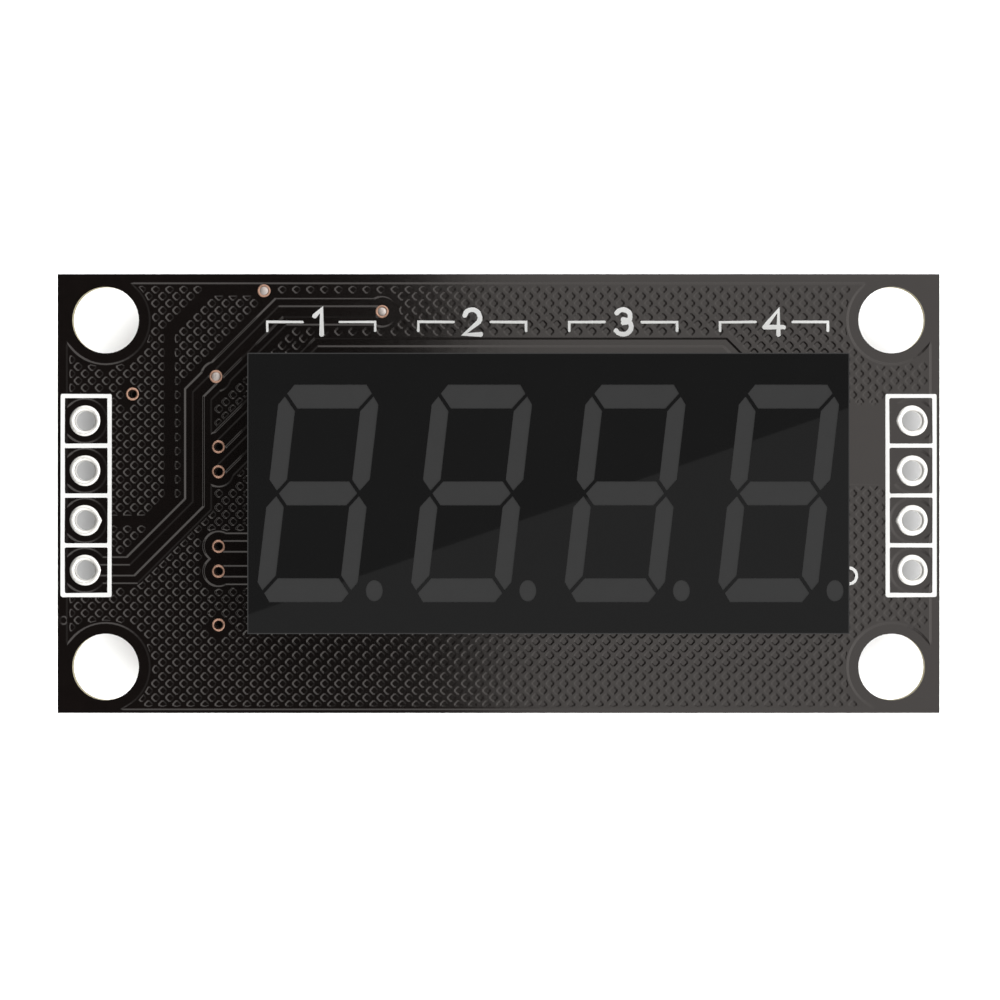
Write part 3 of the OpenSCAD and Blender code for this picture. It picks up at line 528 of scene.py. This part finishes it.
def ribbon(path, width):
    """The outline of a line with round ends, drawn along a path."""
    path = np.array(path, float)
    run = path[1:] - path[:-1]
    left = np.stack((-run[:, 1], run[:, 0]), 1) / np.linalg.norm(run, axis=1)[:, None]
    first, last = np.vstack((left[:1], left)), np.vstack((left, left[-1:]))
    offset = (first + last) / (1 + (first * last).sum(1))[:, None].clip(0.5) * width / 2
    turn = [math.pi * k / 8 for k in range(1, 8)]

    def cap(centre, start):
        angle = math.atan2(start[1], start[0])
        return [centre + width / 2 * np.array((math.cos(angle - t), math.sin(angle - t))) for t in turn]
    outline = [*(path + offset), *cap(path[-1], left[-1]), *(path - offset)[::-1], *cap(path[0], -left[0])]
    return [np.array(outline)[::-1]]


def ink(name, shapes, low, high, up):
    """One flat solid from several shapes, each a list of outlines that may hold holes."""
    points, edges = [], []
    for ring in (ring for shape in shapes for ring in shape):
        first = len(points)
        points += [Vector(p) for p in ring + chance.normal(0, INK_EDGE, ring.shape)]
        edges += [(first + k, first + (k + 1) % len(ring)) for k in range(len(ring))]
    places, _, triangles, _, _, _ = delaunay_2d_cdt(points, edges, [], 0, 1e-6)
    middles = np.array(places)[np.array(triangles)].mean(1)
    keep = np.zeros(len(triangles), bool)
    for shape in shapes:
        keep |= inside(middles, segments_of(shape))
    kept = [t for t, stays in zip(triangles, keep) if stays]
    top, base = (high, low) if up > 0 else (low, high)
    return solid(name, [tuple(p) for p in places], kept, [top] * len(places), base, up)


def bow(x, y, rx, ry, start, end, steps=12):
    """Points along an arc, its angles in degrees."""
    angles = np.radians(np.linspace(start, end, steps))
    return [(x + rx * math.cos(a), y + ry * math.sin(a)) for a in angles]


ink_low, ink_high = PRINT_LOW.z / MM, PRINT_HIGH.z / MM
cell = (header_spots[0][1] - header_spots[1][1] - INK_W) / 2
front_shapes = []
for (low_x, low_y), (high_x, high_y) in header_boxes:
    outlines = [rounded_box((low_x, low_y), (high_x, high_y), BOX_CORNER)]
    for x, y in header_spots[:4]:
        outlines.append(rounded_box((low_x + INK_W, y - cell), (high_x - INK_W, y + cell), CELL_CORNER)[::-1])
    front_shapes.append(outlines)
ring_middle = np.array((housing_high[0] + RING_GAP, RING_Y))
ring_line_r = RING_R - RING_W / 2
reach = math.degrees(math.acos(-(RING_GAP - RING_PLAY) / ring_line_r))
front_shapes.append(ribbon(bow(*ring_middle, ring_line_r, ring_line_r, -reach, reach, 24), RING_W))
half = NUMERAL_H / 2 - NUMERAL_W / 2
NUMERALS = (
    [[(-0.34, half - 0.32), (0.02, half), (0.02, -half)]],
    [bow(0, half - 0.4, 0.4, 0.4, 165, -35) + [(-0.42, -half), (0.44, -half)]],
    [bow(0, half - 0.34, 0.37, 0.34, 150, -90), bow(0, -half + 0.38, 0.42, 0.38, 90, -150)],
    [[(0.22, -half), (0.22, half), (-0.48, -half * 0.42)], [(-0.48, -half * 0.42), (0.48, -half * 0.42)]],
)
digit_middle = (housing_low[0] + housing_high[0]) / 2
for k, strokes in enumerate(NUMERALS):
    place = np.array((digit_middle + (k - 1.5) * DIGIT_PITCH, NUMERAL_Y))
    front_shapes += [ribbon(place + np.array(stroke), NUMERAL_W) for stroke in strokes]
    for side in (-1, 1):
        bracket = [(side * BRACKET_IN, 0), (side * BRACKET_OUT, 0), (side * BRACKET_OUT, -BRACKET_TICK)]
        front_shapes.append(ribbon(place + np.array(bracket), INK_W * 0.6))
front_ink = ink("front_ink", front_shapes, ink_low, ink_high, 1)
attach(front_ink, "root")
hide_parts("front_print")
ink_finish = Finish("white_ink", {"IOR": 1.45, "Specular IOR Level": 0.3})
ink_finish.grain((0.93, 0.93, 0.91, 1), 0.05, 0.4, 0.55, 0.1, 4)
ink_finish.dress(front_ink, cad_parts["back_print"])

# Header pads: plated holes with a tinned ring on both faces, level-soldered, so each ring is a low round bead.
# Where a track meets a pad, the opening in the lacquer leaves a small tinned tip beside the ring.
BEAD_STEPS = 9
TIP_REACH = 0.09
TIP_WIDTH = 0.2


def turned(name, spots, profile, tips=(), steps=48):
    """One piece made of the same closed profile turned about an upright axis at each spot. The profile runs
    clockwise, with z up and r to the right. Tips are pairs of a spot's number and the angle of its tip."""
    corners, faces = [], []
    count = len(profile)
    outer = max(r for r, _ in profile)
    for number, (x, y) in enumerate(spots):
        first = len(corners)
        out_of_round = 0.012 * chance.normal(0, 1, 2)
        for k in range(steps):
            angle = 2 * math.pi * k / steps
            stretch = 1 + out_of_round[0] * math.sin(2 * angle) + out_of_round[1] * math.sin(3 * angle)
            for tip_number, tip_angle in tips:
                if tip_number == number:
                    off = math.remainder(angle - math.radians(tip_angle), 2 * math.pi)
                    stretch += TIP_REACH / outer * math.exp(-(off / TIP_WIDTH) ** 2)
            for r, z in profile:
                reach = r * (1 + (stretch - 1) * (r / outer) ** 4)
                corners.append(tuple(v * MM for v in (x + reach * math.cos(angle), y + reach * math.sin(angle), z)))
        for k in range(steps):
            here, onward = first + k * count, first + (k + 1) % steps * count
            for i in range(count):
                following = (i + 1) % count
                faces.append((here + i, here + following, onward + following, onward + i))
    mesh = bpy.data.meshes.new(name)
    mesh.from_pydata(corners, [], faces)
    mesh.polygons.foreach_set("use_smooth", [True] * len(faces))
    mesh.validate()
    piece = bpy.data.objects.new(name, mesh)
    bpy.context.scene.collection.objects.link(piece)
    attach(piece, "root")
    return piece


def bead(inner, outer, height):
    """Points over a low round bead, from its inner to its outer side."""
    turns = [math.pi * k / BEAD_STEPS for k in range(BEAD_STEPS + 1)]
    middle, half_w = (inner + outer) / 2, (outer - inner) / 2
    return [(middle - half_w * math.cos(t), height * math.sin(t) ** 0.7) for t in turns]


def plated_profile(inner, outer, height, wall=0.05):
    """The section of a plated hole with a bead on both faces."""
    low, high = BOARD_LOW.z / MM, BOARD_HIGH.z / MM
    upper = [(r, high + rise) for r, rise in bead(inner, outer, height)]
    lower = [(r, low - rise) for r, rise in reversed(bead(inner, outer, height))]
    return upper + [(inner + wall, high), (inner + wall, low)] + lower


PAD_RISE = (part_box("header_pads")[1].z - BOARD_HIGH.z) / MM
pad_inner, pad_outer = round_pieces("header_pads")[0][1:]
header_tips = [(2, 0), (3, 0), (4, 180), (5, 180), (6, 180)]
header_rings = turned("header_rings", header_spots, plated_profile(pad_inner, pad_outer, PAD_RISE), header_tips)
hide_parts("header_pads")
tin_finish = Finish("levelled_tin", {"Metallic": 1.0})
tin_finish.grain((0.8, 0.785, 0.745, 1), 0.06, 0.5, 0.34, 0.12, 6)
tin_finish.dress(header_rings)

# Vias: small plated holes that join the two faces. The lacquer leaves their copper ring bare in front and covers
# them on the back. Three of them are closed by solder.
VIA_LIP = 0.215
VIA_DEPTH = 0.12
PLUG_R = 0.25
PLUG_RISE = 0.05
via_low, via_high = BOARD_LOW.z / MM, BOARD_HIGH.z / MM
via_bore, via_outer = round_pieces("open_vias")[0][1:]
via_top = [(r, via_high + rise) for r, rise in bead(VIA_LIP, via_outer, PAD_RISE * 0.8)]
open_profile = [(via_bore, via_high - VIA_DEPTH), *via_top, (via_bore + 0.05, via_high - VIA_DEPTH),
                (via_bore + 0.05, via_low + 0.01), (via_bore, via_low + 0.01)]
via_rings = turned("via_rings", [p[0] for p in round_pieces("open_vias")], open_profile, steps=32)
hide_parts("open_vias")
filled_spots = [p[0] for p in round_pieces("filled_vias")]
filled_rings = turned("filled_rings", filled_spots, open_profile, steps=32)
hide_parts("filled_vias")
plug_profile = [(PLUG_R * math.sin(t), via_high + PLUG_RISE * math.cos(t) - 0.01)
                for t in (math.pi / 16 * k for k in range(9))]
plug_profile = [(0.0, plug_profile[0][1])] + plug_profile[1:]
plug_profile += [(via_bore, via_high - VIA_DEPTH), (via_bore, via_low + 0.02), (0.0, via_low + 0.02)]
via_plugs = turned("via_plugs", filled_spots, plug_profile, steps=32)
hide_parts("filled_vias")
pin_outer = round_pieces("display_pads")[0]
display_rings = turned("display_rings", [p[0] for p in round_pieces("display_pads")],
                       plated_profile(pin_outer[1], pin_outer[2], PAD_RISE * 0.8), steps=32)
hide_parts("display_pads")
copper_finish = Finish("brown_copper", {"Metallic": 0.9})
copper_finish.grain((0.42, 0.25, 0.18, 1), 0.2, 0.3, 0.38, 0.1, 5)
copper_finish.dress(via_rings, filled_rings, display_rings)
plug_finish = Finish("solder_plug", {"Metallic": 1.0})
plug_finish.grain((0.46, 0.41, 0.38, 1), 0.25, 0.25, 0.42, 0.1, 3)
plug_finish.dress(via_plugs)

# Display housing: one black moulded block with a smooth printed face. Its segment windows are cast in grey resin
# from behind and end a hair under the face.
housing_finish = Finish("black_moulding", {"IOR": 1.46, "Specular IOR Level": 0.5})
housing_finish.grain((0.009, 0.009, 0.009, 1), 0.04, 1.2, 0.008, 0.003, 0.0)
housing_finish.dress(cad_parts["display_housing"])
window_finish = Finish("grey_resin", {"IOR": 1.5, "Specular IOR Level": 0.15})
window_finish.grain((0.032, 0.032, 0.032, 1), 0.05, 0.8, 0.5, 0.05, 1)
window_finish.dress(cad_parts["segment_windows"])

# Inside of the display: a small bare board with a light diode and a bond wire behind each window, and resin
# poured in behind it.
bare_board_finish = Finish("bare_laminate", {"IOR": 1.5})
bare_board_finish.grain(LAMINATE, 0.15, 0.3, 0.6, 0.1, 6)
bare_board_finish.dress(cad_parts["diode_board"])
diode_finish = Finish("diode_crystal", {"IOR": 2.0})
diode_finish.grain((0.55, 0.12, 0.06, 1), 0.1, 0.1, 0.25, 0.05, 1)
diode_finish.dress(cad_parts["light_diodes"])
wire_finish = Finish("gold_wire", {"Metallic": 1.0})
wire_finish.grain((0.85, 0.6, 0.2, 1), 0.05, 0.05, 0.25, 0.05, 0.5)
wire_finish.dress(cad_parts["bond_wires"])
potting_finish = Finish("poured_resin", {"IOR": 1.5})
potting_finish.grain((0.33, 0.32, 0.27, 1), 0.15, 1.5, 0.3, 0.1, 8)
potting_finish.dress(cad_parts["display_potting"])

# Pins and solder: round tinned pins come through the board, and each is held by a bright hollow cone of solder.
pin_finish = Finish("tinned_pin", {"Metallic": 1.0})
pin_finish.grain((0.78, 0.77, 0.74, 1), 0.08, 0.3, 0.3, 0.08, 3)
pin_finish.dress(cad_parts["display_pins"])
solder_finish = Finish("bright_solder", {"Metallic": 1.0})
solder_finish.grain((0.74, 0.74, 0.73, 1), 0.1, 0.4, 0.26, 0.1, 8)
solder_finish.dress(*[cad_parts[n] for n in ("pin_solder", "driver_solder", "chip_solder")])

# Driver chip: a moulded epoxy body with a fine matt texture, and twenty tin-plated gull-wing leads.
mould_finish = Finish("moulded_epoxy", {"IOR": 1.55, "Specular IOR Level": 0.35})
mould_finish.grain((0.017, 0.017, 0.018, 1), 0.2, 0.12, 0.58, 0.1, 9)
mould_finish.dress(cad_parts["driver_body"])
lead_finish = Finish("tinned_lead", {"Metallic": 1.0})
lead_finish.grain((0.72, 0.71, 0.69, 1), 0.08, 0.3, 0.34, 0.1, 4)
lead_finish.dress(*[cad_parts[n] for n in ("driver_leads", "resistor_ends", "capacitor_ends")])

# Small chips: two resistors of white alumina with a black glass coat, and four brown ceramic capacitors.
alumina_finish = Finish("white_alumina", {"IOR": 1.6})
alumina_finish.grain((0.82, 0.81, 0.78, 1), 0.06, 0.15, 0.5, 0.1, 5)
alumina_finish.dress(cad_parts["resistor_bodies"])
coat_finish = Finish("black_glass_coat", {"IOR": 1.5})
coat_finish.grain((0.01, 0.01, 0.011, 1), 0.2, 0.2, 0.25, 0.08, 6)
coat_finish.dress(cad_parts["resistor_coats"])
ceramic_finish = Finish("brown_ceramic", {"IOR": 1.6})
ceramic_finish.grain((0.36, 0.2, 0.1, 1), 0.15, 0.25, 0.45, 0.1, 5)
ceramic_finish.dress(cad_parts["capacitor_bodies"])

# Floor, light and camera: the board lies on a white table in a dark tent with a bright ring overhead, and the
# camera looks straight down through the ring. One panel is mirrored in the lacquer's right half, and a smaller and
# dimmer one in the lower part of the display's face.
PHOTO_PX = 1000
PX_PER_MM = 19.6
VIEW_HEIGHT = 420.0
VIEW_MIDDLE = (0.07, -0.33)
camera = bpy.data.cameras.new("camera")
camera.lens = camera.sensor_width * VIEW_HEIGHT / (PHOTO_PX / PX_PER_MM)
camera.clip_start, camera.clip_end = 0.01, 20
camera_object = bpy.data.objects.new("camera", camera)
camera_object.location = (VIEW_MIDDLE[0] * MM, VIEW_MIDDLE[1] * MM, BOARD_HIGH.z + VIEW_HEIGHT * MM)
bpy.context.scene.collection.objects.link(camera_object)
bpy.context.scene.camera = camera_object
bpy.context.scene.view_settings.view_transform = "Standard"

# The table is white to the camera, with a painted shadow that makes it greyer deep under the board. Metal mirrors
# it white, and it throws an even, dimmer light back at the object, also at its underside. It can't be seen from
# below.
FLOOR_HALF = 3.0
FLOOR_WHITE = (1, 1, 1, 1)
FLOOR_PAINTED_SHADOW = (0.53, 0.53, 0.53, 1)
FLOOR_BOUNCE = 0.5
PAINTED_SHADOW_EDGES = {"X": (22.3, 22.6), "Y": (5.4, 7.0)}
floor_mesh = bpy.data.meshes.new("floor")
floor_corners = [(x * FLOOR_HALF, y * FLOOR_HALF, 0) for x, y in ((-1, -1), (1, -1), (1, 1), (-1, 1))]
floor_mesh.from_pydata(floor_corners, [], [(0, 1, 2, 3)])
floor = bpy.data.objects.new("floor", floor_mesh)
bpy.context.scene.collection.objects.link(floor)
floor_finish = Finish("white_table", {"Roughness": 0.9, "Specular IOR Level": 0})
rays = floor_finish.add("ShaderNodeLightPath")
place = floor_finish.add("ShaderNodeSeparateXYZ")
floor_finish.join(floor_finish.add("ShaderNodeTexCoord").outputs["Object"], place.inputs[0])
# Painted shadow: the table's colour is grey under the middle of the board, and turns white past either pair of
# edges.
clear = floor_finish.add("ShaderNodeMath", operation="MAXIMUM")
for socket, (axis, (start, end)) in zip(clear.inputs, PAINTED_SHADOW_EDGES.items()):
    reach = floor_finish.add("ShaderNodeMath", operation="ABSOLUTE")
    floor_finish.join(place.outputs[axis], reach.inputs[0])
    edge = floor_finish.add("ShaderNodeMapRange", {"From Min": start * MM, "From Max": end * MM},
                            interpolation_type="SMOOTHSTEP")
    floor_finish.join(reach.outputs[0], edge.inputs["Value"])
    floor_finish.join(edge.outputs[0], socket)
sheet = floor_finish.add("ShaderNodeMix", {6: FLOOR_PAINTED_SHADOW, 7: FLOOR_WHITE}, data_type="RGBA")
floor_finish.join(clear.outputs[0], sheet.inputs["Factor"])
floor_finish.join(sheet.outputs[2], floor_finish.shader.inputs["Base Color"])
blend = floor_finish.add("ShaderNodeMixShader")
bounce = floor_finish.add("ShaderNodeEmission", {"Color": FLOOR_WHITE})
mirrored = floor_finish.add("ShaderNodeMath", operation="MAXIMUM")
floor_finish.join(rays.outputs["Is Glossy Ray"], mirrored.inputs[0])
floor_finish.join(rays.outputs["Is Transmission Ray"], mirrored.inputs[1])
strength = floor_finish.add("ShaderNodeMapRange", {"To Min": FLOOR_BOUNCE, "To Max": 1.0})
floor_finish.join(mirrored.outputs[0], strength.inputs["Value"])
floor_finish.join(strength.outputs[0], bounce.inputs["Strength"])
floor_finish.join(rays.outputs["Is Camera Ray"], blend.inputs[0])
floor_finish.join(bounce.outputs[0], blend.inputs[1])
floor_finish.join(floor_finish.shader.outputs[0], blend.inputs[2])
below = floor_finish.add("ShaderNodeMixShader")
floor_finish.join(floor_finish.add("ShaderNodeNewGeometry").outputs["Backfacing"], below.inputs[0])
floor_finish.join(blend.outputs[0], below.inputs[1])
floor_finish.join(floor_finish.add("ShaderNodeBsdfTransparent").outputs[0], below.inputs[2])
floor_finish.join(below.outputs[0], floor_finish.tree.nodes["Material Output"].inputs["Surface"])
floor_finish.dress(floor)

# The tent: dark round the camera, then the ring, then the walls, which are dimmer near the table. The tent is dark
# on its left side and brighter on its right. The pairs are degrees, from the upright or from the dark side.
DARK_SIDE = math.radians(177)
DARK_EDGES = (75, 30)
DARK_SHARE = 0.15
BRIGHT_EXTRA = 0.3
BRIGHT_COSINES = (-1, -0.6)
OPENING_EDGES = (13.5, 6)
RING_EDGES = (40, 28)
RING_LIGHT = 0.45
WALL_HEIGHTS = (0, 0.75)
WALL_FOOT = 0.25
WALL_LIGHT = 1.85
DIM_LIGHT = 0.03
world = bpy.data.worlds.new("studio")
world.use_nodes = True
bpy.context.scene.world = world
tree = world.node_tree
tree.nodes.clear()


def world_math(operation, *values):
    node = tree.nodes.new("ShaderNodeMath")
    node.operation = operation
    for socket, value in zip(node.inputs, values):
        if isinstance(value, bpy.types.NodeSocket):
            tree.links.new(value, socket)
        else:
            socket.default_value = value
    return node.outputs[0]


def ramp(value, start, end, low, high):
    """A smooth change from low to high between two values."""
    node = tree.nodes.new("ShaderNodeMapRange")
    node.interpolation_type = "SMOOTHSTEP"
    tree.links.new(value, node.inputs["Value"])
    for label, number in (("From Min", start), ("From Max", end), ("To Min", low), ("To Max", high)):
        node.inputs[label].default_value = number
    return node.outputs[0]


def cosines(angles):
    return [math.cos(math.radians(angle)) for angle in angles]


parts = tree.nodes.new("ShaderNodeSeparateXYZ")
tree.links.new(tree.nodes.new("ShaderNodeTexCoord").outputs["Generated"], parts.inputs[0])
x, y, z = parts.outputs
flat = world_math("SQRT", world_math("ADD", world_math("MULTIPLY", x, x), world_math("MULTIPLY", y, y)))
toward = world_math("ADD", world_math("MULTIPLY", x, math.cos(DARK_SIDE)),
                    world_math("MULTIPLY", y, math.sin(DARK_SIDE)))
turned_to = world_math("DIVIDE", toward, world_math("MAXIMUM", flat, 1e-4))
side = world_math("ADD", ramp(turned_to, *cosines(DARK_EDGES), 1, DARK_SHARE),
                  ramp(turned_to, *BRIGHT_COSINES, BRIGHT_EXTRA, 0))
opening = ramp(z, *cosines(OPENING_EDGES), 1, 0)
ring = world_math("MULTIPLY", ramp(z, *cosines(RING_EDGES), 0, 1), RING_LIGHT)
wall = world_math("MULTIPLY", ramp(z, *WALL_HEIGHTS, WALL_FOOT, 1), WALL_LIGHT)
bright = world_math("MULTIPLY", world_math("MULTIPLY", world_math("ADD", ring, wall), side), opening)
lit = tree.nodes.new("ShaderNodeBackground")
tree.links.new(world_math("ADD", bright, DIM_LIGHT), lit.inputs["Strength"])
plain = tree.nodes.new("ShaderNodeBackground")
plain.inputs["Color"].default_value = (1, 1, 1, 1)
plain.inputs["Strength"].default_value = 1
pick = tree.nodes.new("ShaderNodeMixShader")
tree.links.new(tree.nodes.new("ShaderNodeLightPath").outputs["Is Camera Ray"], pick.inputs[0])
tree.links.new(lit.outputs[0], pick.inputs[1])
tree.links.new(plain.outputs[0], pick.inputs[2])
tree.links.new(pick.outputs[0], tree.nodes.new("ShaderNodeOutputWorld").inputs["Surface"])


def panel(name, edge, angle, width, length, height, radiance):
    """A soft panel over the board, in metres and degrees. Its edge passes through a point over the board, and its
    body lies on the edge's right."""
    light = bpy.data.lights.new(name, "AREA")
    light.shape = "RECTANGLE"
    light.size, light.size_y = width, length
    light.energy = radiance * math.pi * width * length
    piece = bpy.data.objects.new(name, light)
    turn = math.radians(angle)
    piece.location = (edge[0] + math.cos(turn) * width / 2, edge[1] + math.sin(turn) * width / 2, height)
    piece.rotation_euler = (0, 0, turn)
    piece.visible_camera = False
    bpy.context.scene.collection.objects.link(piece)
    return piece


def light_only(light, name, pieces, state="INCLUDE"):
    """Lets a light reach only these pieces, or with EXCLUDE all but these."""
    group = bpy.data.collections.new(name)
    for piece in pieces:
        group.objects.link(piece)
    light.light_linking.receiver_collection = group
    for member in group.collection_objects:
        member.light_linking.link_state = state


housing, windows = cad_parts["display_housing"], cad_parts["segment_windows"]
right_panel = panel("right_panel", edge=(-0.0044, 0), angle=5.5, width=0.22, length=0.34, height=0.9, radiance=1.64)
light_only(right_panel, "all_but_the_face", [housing, windows], "EXCLUDE")
face_panel = panel("face_panel", edge=(0.008, -0.002), angle=-71, width=0.1, length=0.3, height=0.9, radiance=0.22)
light_only(face_panel, "the_face", [housing])
table_panel = panel("table_panel", edge=(-0.9, 0), angle=0, width=1.8, length=1.8, height=0.45, radiance=2.5)
light_only(table_panel, "the_table", [floor])
